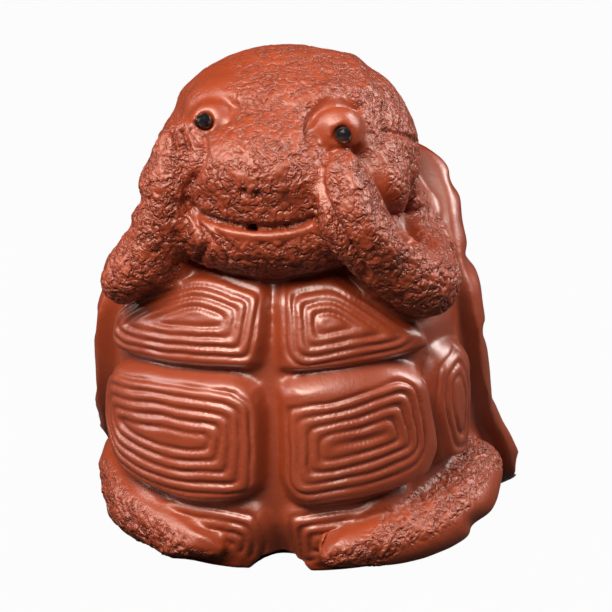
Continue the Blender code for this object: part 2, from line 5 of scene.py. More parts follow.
import bmesh
import bpy
import numpy as np
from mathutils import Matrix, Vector


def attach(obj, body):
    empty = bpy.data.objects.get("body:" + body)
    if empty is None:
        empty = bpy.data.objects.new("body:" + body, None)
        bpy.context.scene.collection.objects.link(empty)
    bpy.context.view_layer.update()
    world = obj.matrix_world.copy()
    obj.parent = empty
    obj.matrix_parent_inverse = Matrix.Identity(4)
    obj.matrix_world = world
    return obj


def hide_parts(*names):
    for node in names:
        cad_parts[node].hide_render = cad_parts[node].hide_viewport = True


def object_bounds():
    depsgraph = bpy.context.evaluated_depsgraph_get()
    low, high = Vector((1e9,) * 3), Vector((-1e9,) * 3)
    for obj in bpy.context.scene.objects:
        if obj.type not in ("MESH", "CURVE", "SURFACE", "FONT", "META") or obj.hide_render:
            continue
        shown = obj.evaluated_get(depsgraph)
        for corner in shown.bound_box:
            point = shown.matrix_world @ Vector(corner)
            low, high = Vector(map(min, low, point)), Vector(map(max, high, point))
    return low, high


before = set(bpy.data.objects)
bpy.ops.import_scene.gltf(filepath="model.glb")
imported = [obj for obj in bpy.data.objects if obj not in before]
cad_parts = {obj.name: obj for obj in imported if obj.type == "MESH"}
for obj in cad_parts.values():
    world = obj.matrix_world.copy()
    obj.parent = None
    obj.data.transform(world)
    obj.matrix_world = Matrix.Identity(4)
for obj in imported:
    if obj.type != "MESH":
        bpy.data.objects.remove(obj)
cad_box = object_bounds()

# Sculpting is done in millimetres about the axis of the vent; this is where that axis stands in the part.
# Left and right are the turtle's own, so its left side is on the right of the picture.
AXIS = np.array([-0.586, 1.058, 0.0])
GRAIN = 0.30
SOFTEN_ROUNDS, BELLY_ROUNDS, BEAD_ROUNDS, RIM_ROUNDS = 30, 10, 25, 26
PLAIN_TRIANGLES = 36000
CREASE_DEPTH, ROUGH_CREASE_DEPTH = 0.26, 0.16
LUMP_RISE, ROUGH_LUMP_RISE = 0.08, 0.12
BOX_MARGIN = 0.02


def unit(v):
    v = np.asarray(v, float)
    return v / np.linalg.norm(v)


def smooth(low, high, x):
    """A soft step from 0 at low to 1 at high."""
    t = np.clip((x - low) / (high - low), 0.0, 1.0)
    return t * t * (3 - 2 * t)


def bell(x, width):
    return np.exp(-((x / width) ** 2))


def distance(p, centre):
    return np.linalg.norm(p - np.asarray(centre), axis=1)


# The photograph's view: angles, camera distance in millimetres, and how many pixels a millimetre takes at the
# axis and, nearer to the camera, at the figure's front

AZIMUTH, ELEVATION = math.radians(8), math.radians(15)
DISTANCE = 800.0
PX = 6.35
FRONT_PX = PX * 1.04
PICTURE_SIDE = 612
PICTURE_MIDDLE = PICTURE_SIDE / 2
AXIS_FOOT_PX = (293, 528)
BACKWARD = np.array([math.sin(AZIMUTH) * math.cos(ELEVATION), -math.cos(AZIMUTH) * math.cos(ELEVATION),
                     math.sin(ELEVATION)])
RIGHTWARD = np.array([math.cos(AZIMUTH), math.sin(AZIMUTH), 0.0])
UPWARD = np.cross(BACKWARD, RIGHTWARD)
AIM = RIGHTWARD * ((PICTURE_MIDDLE - AXIS_FOOT_PX[0]) / PX)
AIM = AIM + UPWARD * ((AXIS_FOOT_PX[1] - PICTURE_MIDDLE) / PX)
EYE_POINT = AIM + BACKWARD * DISTANCE


def picture(p):
    """Where each point falls in the picture, in its pixels."""
    q = p - EYE_POINT
    deep = -(q @ BACKWARD)
    across = PX * DISTANCE * (q @ RIGHTWARD) / deep
    up = PX * DISTANCE * (q @ UPWARD) / deep
    return np.stack([PICTURE_MIDDLE + across, PICTURE_MIDDLE - up], 1)


# Noise

def noise(p, size, seed):
    """Smooth noise from about -1 to 1 whose lumps are about this size; each seed gives its own pattern."""
    rng = np.random.RandomState(seed)
    table = rng.permutation(256)
    table = np.concatenate([table, table])
    arrows = rng.normal(size=(256, 3))
    arrows /= np.linalg.norm(arrows, axis=1)[:, None]
    q = p / size + rng.uniform(0, 50, 3)
    cell = np.floor(q).astype(int)
    part = q - cell
    fade = part**3 * (part * (part * 6 - 15) + 10)
    cell &= 255
    total = np.zeros(len(p))
    for i in (0, 1):
        for j in (0, 1):
            for k in (0, 1):
                x = (cell[:, 0] + i) & 255
                y = (cell[:, 1] + j) & 255
                z = (cell[:, 2] + k) & 255
                arrow = arrows[table[table[table[x] + y] + z]]
                lean = ((part - [i, j, k]) * arrow).sum(1)
                share = np.where(i, fade[:, 0], 1 - fade[:, 0]) * np.where(j, fade[:, 1], 1 - fade[:, 1])
                total += lean * share * np.where(k, fade[:, 2], 1 - fade[:, 2])
    return total * 1.6


def warped(p, size, amount, seed):
    """The points pushed about by slow noise."""
    push = np.stack([noise(p, size, seed + i) for i in range(3)], 1)
    return p + push * amount


# The forms that the sculpting follows: centres and half sizes of the head's balls, the belly sheet, the limbs

HEAD_TURN = math.radians(-4.5)
TURN = np.array([[math.cos(HEAD_TURN), -math.sin(HEAD_TURN), 0],
                 [math.sin(HEAD_TURN), math.cos(HEAD_TURN), 0],
                 [0, 0, 1]])
HEAD_FORMS = {
    "skull": ((0, -3, 61.5), (20.6, 19, 16.8)),
    "jaw": ((0, -14.3, 53.8), (17.8, 15.5, 8.6)),
    "neck": ((0, 1, 52), (20.6, 16.5, 11)),
    "nape": ((0, 11, 52), (20.6, 12.4, 8.5)),
    "brow": ((0, -11, 69), (15.7, 9.5, 7.5)),
    "muzzle": ((0, -18.5, 63), (13.5, 12.5, 9)),
    "left_cheek": ((12, -11, 58.5), (8.5, 10.2, 8.5)),
    "right_cheek": ((-12, -11, 58.5), (8.5, 10.2, 8.5)),
}
LEFT_EYE = np.array([9.42, -17.99, 68.9])
RIGHT_EYE = np.array([-9.72, -16.49, 68.9])
RIGHT_BEAD = (-10.64, -19.79, 69.79)
BELLY_HEIGHT, BELLY_HALF_HEIGHT = 26.0, 36.0
BELLY_HALF_WIDTH, BELLY_DEPTH = 26.2, 22.5
BELLY_BACK = -2.0
BELLY_SQUARENESS = 2.7
LIFT_ROUNDS = 12
LOWEST_LIFT = -8.0
ELBOW_LIFT = 4.5
SHOULDER_LIFT, SHOULDER_RISE, SHOULDER_SWING = -4.5, 2.0, 1.7
ARM_RADII = [5.4, 5.4, 5.08, 4.9, 4.2]
LEG_START_ANGLE, LEG_END_ANGLE = 100, 23
LEG_START_HEIGHT, LEG_END_HEIGHT = 10.0, 4.8
LEG_START_RADIUS, LEG_END_RADIUS = 5.2, 3.0
LIMB_BALLS = 40


def girth_at(z):
    """How wide the belly is at a height, as a share of its widest."""
    high = np.minimum(abs(z - BELLY_HEIGHT) / BELLY_HALF_HEIGHT, 0.995)
    return (1 - high**BELLY_SQUARENESS) ** (1 / BELLY_SQUARENESS)


def belly_place(angle, z, lift):
    """The place at an angle round the belly, a height, and a lift off its sheet."""
    turn = np.radians(angle)
    girth = girth_at(z)
    return np.stack([(BELLY_HALF_WIDTH * girth + lift) * np.sin(turn),
                     BELLY_BACK - (BELLY_DEPTH * girth + lift) * np.cos(turn),
                     z + 0 * turn], -1)


def belly_sheet(p):
    """For each point its angle round the belly in degrees and its lift off it."""
    girth = girth_at(p[:, 2])
    across, forward = p[:, 0], BELLY_BACK - p[:, 1]
    lift = np.zeros(len(p))
    for _ in range(LIFT_ROUNDS):
        wide, deep = BELLY_HALF_WIDTH * girth + lift, BELLY_DEPTH * girth + lift
        turn = np.arctan2(across / wide, forward / deep)
        sin, cos = np.sin(turn), np.cos(turn)
        sheet = girth * (BELLY_HALF_WIDTH * sin**2 + BELLY_DEPTH * cos**2)
        lift = np.maximum(across * sin + forward * cos - sheet, LOWEST_LIFT)
    return np.degrees(turn), lift


def through(stops, shares):
    """Points on a smooth curve through the stops."""
    stops = np.asarray(stops, float)
    last = len(stops) - 1
    place = np.minimum(shares, 0.99999) * last
    i = place.astype(int)
    t = (place - i)[:, None]
    a, b, c, d = (stops[np.clip(i + k, 0, last)] for k in (-1, 0, 1, 2))
    return 0.5 * (2 * b + (c - a) * t + (2 * a - 5 * b + 4 * c - d) * t**2 + (3 * b - a - 3 * c + d) * t**3)


def limb(stops, radii):
    """A limb as balls along its path: their centres and radii."""
    shares = np.linspace(0, 1, LIMB_BALLS)
    return through(stops, shares), through(np.asarray(radii, float)[:, None], shares)[:, 0]


def arm(side, angle, height, paw, bend):
    elbow = belly_place(np.float64(side * angle), np.float64(height), ELBOW_LIFT)
    shoulder = belly_place(np.float64(side * angle * SHOULDER_SWING), np.float64(height + SHOULDER_RISE),
                           SHOULDER_LIFT)
    paw = (LEFT_EYE if side > 0 else RIGHT_EYE) + paw
    bend = np.array(bend)
    wrist = elbow + (paw - elbow) * 0.65 + bend
    forearm = elbow + (paw - elbow) * 0.30 + bend * 0.85
    return limb([shoulder, elbow, forearm, wrist, paw], ARM_RADII)


def leg(side, lift):
    stops, radii = [], []
    for share in (0.0, 0.25, 0.5, 0.75, 1.0):
        angle = LEG_START_ANGLE + (LEG_END_ANGLE - LEG_START_ANGLE) * share
        height = LEG_END_HEIGHT + (LEG_START_HEIGHT - LEG_END_HEIGHT) * (1 - share) ** 1.7
        stops.append(belly_place(np.float64(side * angle), np.float64(height), lift + share**3))
        radii.append(LEG_START_RADIUS + (LEG_END_RADIUS - LEG_START_RADIUS) * share**2.5)
    return limb(stops, radii)


ARMS = [arm(1, 53.0, 45.2, (1.6, -8.5, -5.6), (-2.2, -5.0, 0.0)),
        arm(-1, 49.0, 45.0, (-4.2, -3.8, -2.6), (1.0, -1.8, 0.0))]
LEGS = [leg(1, 3.2), leg(-1, 1.0)]


def gap_to_limbs(p, limbs):
    """Distance off the skin of the nearest of these limbs."""
    best = np.full(len(p), 1e9)
    for centres, radii in limbs:
        for centre, radius in zip(centres, radii):
            best = np.minimum(best, distance(p, centre) - radius)
    return best


def gap_to_head(p):
    best = np.full(len(p), 1e9)
    for centre, radii in HEAD_FORMS.values():
        q = (p - TURN @ np.array(centre)) @ TURN
        k = np.linalg.norm(q / radii, axis=1)
        steep = np.linalg.norm(q / np.square(radii), axis=1)
        best = np.minimum(best, k * (k - 1) / np.maximum(steep, 1e-6))
    return best


def in_hollow(p):
    """True for the skin inside the figure."""
    x, y, z = p.T
    trunk = ((x / 21.8) ** 2 + ((y - 1.0) / 21.0) ** 2 < 1) & (z > 4.4) & (z < 47.2)
    head = ((x / 16.2) ** 2 + ((y + 3.0) / 14.6) ** 2 < 1) & (z > 40) & (z < 68.0)
    return (trunk & (abs(x) < 20.6) & (abs(y - 1) < 19.6)) | head


# The skin of the figure as one fine mesh

def mesh_copy(name, source):
    obj = bpy.data.objects.new(name, source.data.copy())
    bpy.context.scene.collection.objects.link(obj)
    obj.data.materials.clear()
    return obj


def apply_modifiers(obj):
    graph = bpy.context.evaluated_depsgraph_get()
    mesh = bpy.data.meshes.new_from_object(obj.evaluated_get(graph))
    obj.modifiers.clear()
    obj.data = mesh


def points_of(mesh):
    co = np.empty(len(mesh.vertices) * 3, np.float32)
    mesh.vertices.foreach_get("co", co)
    return co.reshape(-1, 3).astype(float) * 1000 - AXIS


def triangles_of(mesh):
    mesh.calc_loop_triangles()
    corners = np.empty(len(mesh.loop_triangles) * 3, np.int32)
    mesh.loop_triangles.foreach_get("vertices", corners)
    return corners.reshape(-1, 3)


def carved_zone(p):
    """True where the skin will be carved and needs fine triangles: head, limbs, belly and neck."""
    angle, lift = belly_sheet(p)
    z = p[:, 2]
    fine = ((gap_to_limbs(p, ARMS + LEGS) < 1.5) & (z > 0.6)) | ((gap_to_head(p) < 1.5) & (z > 44.0))
    fine |= (p[:, 1] < 1.0) & (lift > -1.5) & (abs(angle) < 88)
    fine |= (p[:, 1] < 9.0) & (z > 34.0) & (z < 62.0)
    return fine & ~in_hollow(p) & (z > 0.5)


def fine_skin(source):
    """An even mesh over the solid, with fewer triangles where nothing is carved."""
    obj = mesh_copy("skin", source)
    weld = obj.modifiers.new("weld", "WELD")
    weld.merge_threshold = 1e-5
    even = obj.modifiers.new("even", "REMESH")
    even.mode = "VOXEL"
    even.voxel_size = GRAIN / 1000
    soften = obj.modifiers.new("soften", "SMOOTH")
    soften.factor = 0.5
    soften.iterations = SOFTEN_ROUNDS
    apply_modifiers(obj)
    fine = carved_zone(points_of(obj.data))
    coarse = obj.vertex_groups.new(name="coarse")
    coarse.add(np.nonzero(fine)[0].tolist(), 0.0, "REPLACE")
    coarse.add(np.nonzero(~fine)[0].tolist(), 1.0, "REPLACE")
    fewer = obj.modifiers.new("fewer", "DECIMATE")
    fewer.vertex_group = "coarse"
    fewer.ratio = (2 * fine.sum() + PLAIN_TRIANGLES) / (2 * len(obj.data.polygons))
    apply_modifiers(obj)
    return obj


skin_mesh = fine_skin(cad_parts["turtle_body"])
P = points_of(skin_mesh.data)
T = triangles_of(skin_mesh.data)
EDGES = np.unique(np.sort(np.concatenate([T[:, [0, 1]], T[:, [1, 2]], T[:, [2, 0]]]), axis=1), axis=0)
bpy.data.objects.remove(skin_mesh)


def normals(p):
    """Mean normal at each point."""
    a, b, c = p[T[:, 0]], p[T[:, 1]], p[T[:, 2]]
    face = np.cross(b - a, c - a)
    total = np.stack([sum(np.bincount(T[:, k], face[:, i], len(p)) for k in range(3)) for i in range(3)], 1)
    return total / np.maximum(np.linalg.norm(total, axis=1)[:, None], 1e-12)


def spread(values, rounds, weight=None):
    """Values or points softened by their neighbours, more where weight is more."""
    flat = values.ndim == 1
    out = values[:, None].copy() if flat else values.copy()
    one, other = EDGES.T
    count = np.maximum(np.bincount(EDGES.ravel(), minlength=len(out))[:, None], 1)
    step = 0.5 if weight is None else 0.5 * weight[:, None]
    for _ in range(rounds):
        columns = [np.bincount(one, out[other, i], len(out)) + np.bincount(other, out[one, i], len(out))
                   for i in range(out.shape[1])]
        out += (np.stack(columns, 1) / count - out) * step
    return out[:, 0] if flat else out


arm_gap = gap_to_limbs(P, ARMS)
leg_gap = gap_to_limbs(P, LEGS)
head_gap = gap_to_head(P)
inside = in_hollow(P)
outer = ~inside & (P[:, 2] > 0.3)

# Small moves seen in the picture: place, move right and down, and reach, all in pixels

NUDGES = [
    (168, 112, 6, 0, 18), (350, 58, 5, -2, 16), (390, 78, 4, 0, 14), (136, 203, 7, 0, 12),
    (141, 172, -3, 0, 12), (123, 226, 7, 0, 12), (118, 246, 6, 0, 12), (104, 265, 4, 0, 10),
    (150, 312, 0, -14, 24), (97, 390, -9, 0, 18), (96, 330, -6, 0, 20), (100, 432, -4, 0, 9),
    (465, 215, -6, 0, 24), (487, 310, -6, 0, 26), (492, 362, -5, 0, 14), (490, 400, 7, 0, 12),
    (98, 500, 5, 0, 14), (98, 480, 4, 0, 10), (482, 525, -9, 0, 12), (182, 560, -18, 0, 18),
]
SHELL_TIP_NUDGES = [(511, 455, -2, 20, 17), (500, 475, -4, 10, 10)]


def pushed(p, nudges, mask):
    """The moves of these nudges at each point, in pixels."""
    at = picture(p)
    push = np.zeros((len(p), 2))
    for x, y, right, down, reach in nudges:
        push += bell(distance(at, (x, y)), reach)[:, None] * (right, down)
    return push * mask[:, None]


facing = normals(P) @ BACKWARD
push = pushed(P, NUDGES, outer * smooth(-0.7, -0.3, facing) * smooth(20.0, 10.0, P[:, 1]))
push += pushed(P, SHELL_TIP_NUDGES, smooth(0.3, 1.5, leg_gap))
push[:, 1] *= smooth(0.0, 2.0, P[:, 2])
P = P + (push[:, :1] * RIGHTWARD - push[:, 1:] * UPWARD) / FRONT_PX

# Belly: pillows between broad gutters, as outlines in degrees round the belly and millimetres of height with
# how far they rise, and their carved rings, as outlines with pitches across and up and a number of rings

REACH = BELLY_HALF_WIDTH * math.radians(1)
PADS = {
    "upper_right": ([(-72, 33), (-68, 39.5), (-48.6, 44.1), (-28.3, 47.5), (-2.7, 45.6), (-1.6, 39.2),
                     (-4.5, 33.4), (-44.3, 32.4), (-66, 31.8)], 2.5),
    "upper_left": ([(2.1, 45.2), (27.6, 46.6), (39.6, 43), (55.6, 38), (56, 35), (9.9, 33.2),
                    (4.0, 33.2)], 2.5),
    "middle_right": ([(-77, 20), (-74, 27), (-66, 30.4), (-44, 31.4), (-9.2, 31.7), (-3.3, 29.1), (-2.1, 22),
                      (-3.2, 14.8), (-9.7, 12.6), (-24.4, 11.2), (-60.9, 12.6), (-70, 15)], 3.0),
    "middle_left": ([(4.6, 31.6), (9.9, 32.6), (44, 33.2), (53, 31), (60, 19.4), (53.8, 14), (10, 11.8),
                     (5.1, 14.1)], 3.0),
    "lower_right": ([(-45, 9.5), (-39.3, 11), (-2.5, 11), (1.5, 5.6), (0, 0), (-28.9, -2), (-50.6, 3)], 1.3),
    "lower_left": ([(5.1, 10.5), (54.5, 11.9), (50, 8), (26.3, 0), (6.7, -1)], 1.3),
    "bridge_left": ([(58, 32.5), (70, 34.5), (84, 32), (88, 24), (88, 12), (67.7, 14.5), (57.3, 24.6)], 2.2),
}
RINGS = {
    "upper_right": ([(-64, 36), (-61.7, 39.1), (-43.6, 43.5), (-27.6, 46.6), (-3.9, 44.4), (-6.4, 34.9),
                     (-40.7, 34.0), (-58, 33.4), (-66, 34.5)], (3.2, 1.5), 6),
    "upper_left": ([(4.9, 45.6), (24.7, 46.5), (35.6, 42.5), (50, 38), (46, 36.0), (9.8, 34.2), (5.6, 35.9)],
                   (3.2, 1.5), 6),
    "middle_right": ([(-70, 20), (-68, 27.6), (-40.5, 29.6), (-9.8, 29.4), (-5.2, 27.6), (-6, 14),
                      (-33.4, 12.6), (-61.7, 14.6)], (3.2, 1.75), 6),
    "middle_left": ([(6.2, 27), (41.7, 30.9), (46, 29.8), (51.5, 19.9), (48, 17), (9.8, 13.6), (6.8, 15)],
                    (3.2, 1.75), 6),
    "lower_right": ([(-46, 9.2), (-38, 10), (-6, 9.5), (-2, 5), (-8, -1), (-30, 0)], (3.2, 1.7), 4),
    "lower_left": ([(7, 9.3), (50, 11), (44, 6), (24, 1), (8, 0)], (3.2, 1.6), 4),
    "bridge_left": ([(61, 31), (73, 33), (82, 27), (80, 15), (68, 16), (59.5, 25)], (3.2, 1.8), 3),
}
RINGS_FADE = {"upper_right": (-68, -60), "upper_left": (50, 40)}
PAD_MARGIN = 0.9
CROWN_RISE = 0.7
TOP_LEAN, TOP_LEAN_FROM = 0.18, 37.0
RING_SHARPNESS = 3.4
RING_DEPTH, RING_WIDTH = 0.38, 0.38
RING_SWELL = 0.10


def outline_sides(outline):
    """The sides of an outline on the sheet: corner, direction, and the way that faces inwards."""
    corners = np.array(outline, float) * [REACH, 1.0]
    ends = np.roll(corners, -1, axis=0)
    way = 1 if sum(a[0] * b[1] - a[1] * b[0] for a, b in zip(corners, ends)) > 0 else -1
    for a, b in zip(corners, ends):
        along = unit(b - a)
        yield a, along, np.array([-along[1], along[0]]) * way, way


def side_gaps(outline, u, v, pitch=None):
    """Distance inside each side of an outline on the sheet, in millimetres or in pitches."""
    gaps = []
    for corner, along, inwards, way in outline_sides(outline):
        gap = (u - corner[0]) * inwards[0] + (v - corner[1]) * inwards[1]
        if pitch:
            gap = gap / math.hypot(inwards[0] * pitch[0] * REACH, inwards[1] * pitch[1])
        gaps.append(gap)
    return np.array(gaps)


def rounded_gap(gaps, radius):
    """The least of the gaps, with the corners rounded."""
    over = np.maximum(radius - gaps, 0.0)
    inner = gaps.min(0)
    return np.where(inner > radius, inner, radius - np.sqrt((over**2).sum(0)))


def shoulders(outline):
    """How wide the slope inside each side is: gentle at a top edge, steep at a bottom edge or on one side."""
    widths = [3.2 - 1.5 * along[0] * way - 0.9 * along[1] * way
              for corner, along, inwards, way in outline_sides(outline)]
    return np.array(widths)[:, None]


def pad_lift(u, v, outline, rise):
    gaps = side_gaps(outline, u, v) + PAD_MARGIN
    share = np.clip(rounded_gap(gaps / shoulders(outline), 0.8), 0, 1)
    crown = np.clip(rounded_gap(gaps, 2.2) / 8.0, 0, 1)
    return rise * (1 - (1 - share) ** 2) ** 0.8 + CROWN_RISE * (1 - (1 - crown) ** 2)


def ring_number(u, v, outline, pitch):
    """How many rings inwards each point lies, with the rings' corners rounded."""
    gaps = side_gaps(outline, u, v, pitch)
    return -np.log(np.exp(-RING_SHARPNESS * gaps).sum(0)) / RING_SHARPNESS + 0.15


def belly_lift(angle, z, p):
    """How far the pads stand off the belly sheet, and how deep their rings are cut."""
    u, v = angle * REACH, z
    wave_u = noise(p, 6.0, 11) * 0.30 + noise(p, 1.8, 13) * 0.04
    wave_v = noise(p, 6.0, 12) * 0.30 + noise(p, 1.8, 14) * 0.04
    lift = -2.2 * smooth(13.0, 10.5, v)
    for outline, rise in PADS.values():
        lift = np.maximum(lift, pad_lift(u + wave_u * 0.6, v + wave_v * 0.6, outline, rise))
    lift = lift - TOP_LEAN * np.maximum(v - TOP_LEAN_FROM, 0)
    cut = np.zeros(len(u))
    for name, (outline, pitch, count) in RINGS.items():
        n = ring_number(u + wave_u, v + wave_v, outline, pitch)
        apart = abs(n - np.clip(np.round(n), 0, count - 1)) * pitch[1]
        depth = RING_DEPTH * (0.8 + 0.5 * noise(p, 4.0, 17 + len(name)))
        if name in RINGS_FADE:
            depth = depth * smooth(*RINGS_FADE[name], angle)
        cut = np.maximum(cut, depth * bell(apart, RING_WIDTH))
        crest = np.clip(n + 0.5, 0, 1) * (n < count)
        lift = lift + RING_SWELL * crest * (0.5 - 0.5 * np.cos(2 * math.pi * np.clip(n, 0, count)))
    return lift, cut


# Lines of the legs in the picture, in pixels: the top of each foot, and where the wrinkles start and end

FEET_PART = 285
RIGHT_FOOT_TOP = [(90, 425), (104, 440), (128, 472), (160, 500), (190, 524), (225, 546), (285, 575)]
LEFT_FOOT_TOP = [(290, 585), (325, 550), (350, 521), (375, 499), (400, 481), (430, 463), (480, 436)]
RIGHT_WRINKLES_START = [(95, 452), (105, 458), (130, 496), (160, 522), (190, 543), (215, 556)]
LEFT_WRINKLES_START = [(325, 556), (350, 546), (372, 530), (398, 500), (415, 478), (440, 455), (480, 430)]
LEFT_WRINKLES_END = [(330, 575), (370, 574), (405, 548), (440, 532), (470, 508), (492, 470)]


def below(at, points, reach):
    """How far under a line of the picture each point lies, from 0 to 1 over the reach in pixels."""
    line = np.array(points, float)
    return smooth(-reach, reach, at[:, 1] - np.interp(at[:, 0], line[:, 0], line[:, 1]))


def belly_zone(p, angle, lift):
    """Where the belly's pads shape the skin: 1 on them, 0 on the head, the arms, the feet and the sides."""
    at = picture(p)
    foot = np.where(at[:, 0] < FEET_PART, below(at, RIGHT_FOOT_TOP, 3), below(at, LEFT_FOOT_TOP, 3))
    leg_free = np.where(facing > -0.1, 1 - foot, smooth(0.1, 0.9, leg_gap))
    low_down = leg_free * smooth(9.0, 7.6, lift)
    zone = smooth(0.1, 0.9, np.minimum(arm_gap, head_gap)) * smooth(88, 80, abs(angle))
    zone *= np.where(p[:, 2] < 16, low_down, smooth(6.0, 4.6, lift)) * smooth(-1.6, -0.4, lift)
    on_front = (p[:, 1] < 2.0) & outer
    zone *= on_front * smooth(0.3, 1.5, p[:, 2])
    return spread(zone, 4) * on_front


angle, lift = belly_sheet(P)
target, cut = belly_lift(angle, P[:, 2], P)
belly = belly_zone(P, angle, lift)
P = P + (belly_place(angle, P[:, 2], target) - P) * belly[:, None]
P = spread(P, BELLY_ROUNDS, belly)
P = P - normals(P) * (cut * belly)[:, None]

# The notch between the feet is drawn in, and the rim of the shell runs smoothly down the sides

NOTCH_MIDDLE, NOTCH_WIDTH = 0.9, 4.0
NOTCH_BACK, NOTCH_DOWN = 2.4, 0.5
notch = bell(P[:, 0] - NOTCH_MIDDLE, NOTCH_WIDTH) * smooth(9.0, 1.0, P[:, 2])
notch *= smooth(-12.0, -16.0, P[:, 1]) * ~inside
P[:, 1] += NOTCH_BACK * notch
P[:, 2] -= NOTCH_DOWN * notch
rim = smooth(-6.0, -2.0, P[:, 1]) * smooth(24.0, 18.0, P[:, 1]) * smooth(14.0, 18.0, abs(P[:, 0])) * outer
rim *= smooth(14.0, 20.0, P[:, 2]) * smooth(0.5, 2.0, np.minimum(np.minimum(arm_gap, leg_gap), head_gap))
P = spread(P, RIM_ROUNDS, rim)

# Zones of the skin

N = normals(P)
head = smooth(1.6, 0.2, head_gap) * smooth(45.5, 47.5, P[:, 2])
arms = smooth(1.6, 0.2, arm_gap)
legs = smooth(1.6, 0.2, leg_gap)
shell_side = smooth(-1.0, 3.0, P[:, 1]) * smooth(62.0, 56.0, P[:, 2])
face = outer * smooth(8.0, 2.0, P[:, 1]) * smooth(-0.05, 0.25, N @ BACKWARD) * (1 - belly)
only_head = head * (1 - smooth(0.6, 0.0, arm_gap))
at = picture(P)


def near_line(points, reach):
    """Which points of the face lie near a line drawn in the picture, and how far off in pixels."""
    line = through(points, np.linspace(0, 1, 12 * len(points)))
    low, high = line.min(0) - reach, line.max(0) + reach
    found = np.nonzero(((at > low) & (at < high)).all(1) & (face > 0.02))[0]
    best = np.full(len(found), 1e9)
    for a, b in zip(line, line[1:]):
        along = b - a
        q = at[found] - a
        t = np.clip((q @ along) / max(along @ along, 1e-9), 0, 1)
        best = np.minimum(best, np.linalg.norm(q - t[:, None] * along, axis=1))
    return found, best


def press(points, width, depth, mask):
    """Presses a line into the skin, or raises it where depth is negative."""
    found, gap = near_line(points, width * 3)
    P[found] -= N[found] * (depth * bell(gap, width) * face[found] * mask[found])[:, None]


def spot(place, reach, strength=1.0):
    """A soft round patch of the picture."""
    return strength * bell(distance(at, place), reach) * face


# Strokes drawn in the picture: a line in pixels, its width in pixels, its depth in millimetres, which is
# negative for a ridge, and whether it stays on the head

MOUTH = np.array([(192, 206), (197, 212), (210, 218), (232, 224), (254, 227), (276, 227), (296, 224),
                  (312, 218), (325, 210)], float)
LIP = MOUTH + (0, 9)
STROKES = {
    "upper_lip": (MOUTH + (0, -10), 9.0, -0.5, True),
    "lower_lip": (LIP, 4.5, -0.30, True),
    "mouth": (MOUTH, 3.0, 1.0, True),
    "right_nostril": ([(243, 192), (243.5, 194.5)], 3.0, 0.8, True),
    "left_nostril": ([(257, 195), (257.5, 197.5)], 3.0, 0.8, True),
    "left_eye_fold": ([(311, 142), (309, 128), (314, 113), (326, 104), (345, 103), (362, 108)],
                      4.0, 1.1, True),
    "left_eye_hollow": ([(322, 147), (337, 152), (352, 147)], 4.0, 0.35, True),
    "left_brow": ([(322, 90), (342, 84), (362, 92)], 9.0, -0.5, True),
    "right_eye_fold": ([(194, 104), (206, 98), (222, 98), (234, 106)], 4.5, 0.4, True),
    "right_first_finger": ([(172, 131), (175, 139), (178, 148)], 2.8, 0.9, False),
    "right_second_finger": ([(182, 128), (186, 137), (188, 146)], 2.8, 0.9, False),
    "right_third_finger": ([(192, 129), (196, 136), (198, 143)], 2.8, 0.8, False),
    "right_arm_inner_side": ([(203, 138), (203, 152), (196, 172), (187, 188), (189, 205), (198, 224),
                              (206, 243), (196, 262)], 4.0, 0.9, False),
    "right_arm_ridge": ([(180, 145), (168, 165), (165, 185)], 12.0, -0.4, False),
    "left_arm_inner_side": ([(324, 158), (318, 172), (320, 192), (329, 212), (340, 232), (352, 254),
                             (366, 276)], 5.0, 1.3, False),
    "left_paw_tip": ([(324, 158), (332, 150), (346, 148), (360, 152)], 3.0, 0.6, False),
    "left_arm_outer_side": ([(362, 152), (376, 168), (387, 190), (398, 214), (412, 236)], 6.0, 1.7, False),
    "left_arm_ridge": ([(346, 165), (354, 195), (368, 225), (392, 252)], 15.0, -0.9, False),
    "neck_fold": ([(386, 131), (404, 136), (421, 143)], 3.0, 0.6, True),
    "neck_swell": ([(402, 150), (412, 175), (414, 205)], 14.0, -0.8, True),
    "crown_ridge": ([(356, 70), (366, 84), (380, 102)], 5.0, -0.5, True),
    "chin_outer_fold": ([(199, 226), (212, 243), (228, 262)], 3.0, 0.45, True),
    "chin_inner_fold": ([(212, 226), (226, 242), (242, 258)], 3.0, 0.35, True),
}
# Patches without wrinkles: places, reaches and strengths, and lines with their widths, all in pixels
CALM_SPOTS = [((215, 75), 26, 0.95), ((240, 56), 12, 0.7), ((222, 142), 18, 0.7), ((190, 105), 20, 0.9),
              ((368, 74), 14, 0.5)]
CALM_LINES = [([(320, 162), (319, 180), (324, 200)], 7),
              ([(370, 158), (384, 184), (396, 210), (412, 238)], 8),
              ([(206, 140), (204, 160), (198, 180)], 4),
              ([(192, 205), (204, 226), (208, 244)], 3)]

round_bead = spot((219, 122), 17) * only_head * smooth(1.6, 2.6, distance(P, RIGHT_BEAD))
P = spread(P, BEAD_ROUNDS, round_bead)
anywhere = np.ones(len(P))
for points, width, depth, on_head in STROKES.values():
    press(points, width, depth, only_head if on_head else anywhere)


def calm_zone():
    """Where the skin of head and arms stays smooth."""
    lip = np.zeros(len(P))
    found, gap = near_line(LIP, 14)
    lip[found] = smooth(7.5, 4.0, gap) * only_head[found]
    calm = np.maximum.reduce([lip] + [spot(*patch) for patch in CALM_SPOTS])
    for points, width in CALM_LINES:
        found, gap = near_line(points, 2 * width)
        calm[found] = np.maximum(calm[found], 0.95 * bell(gap, width))
    return calm


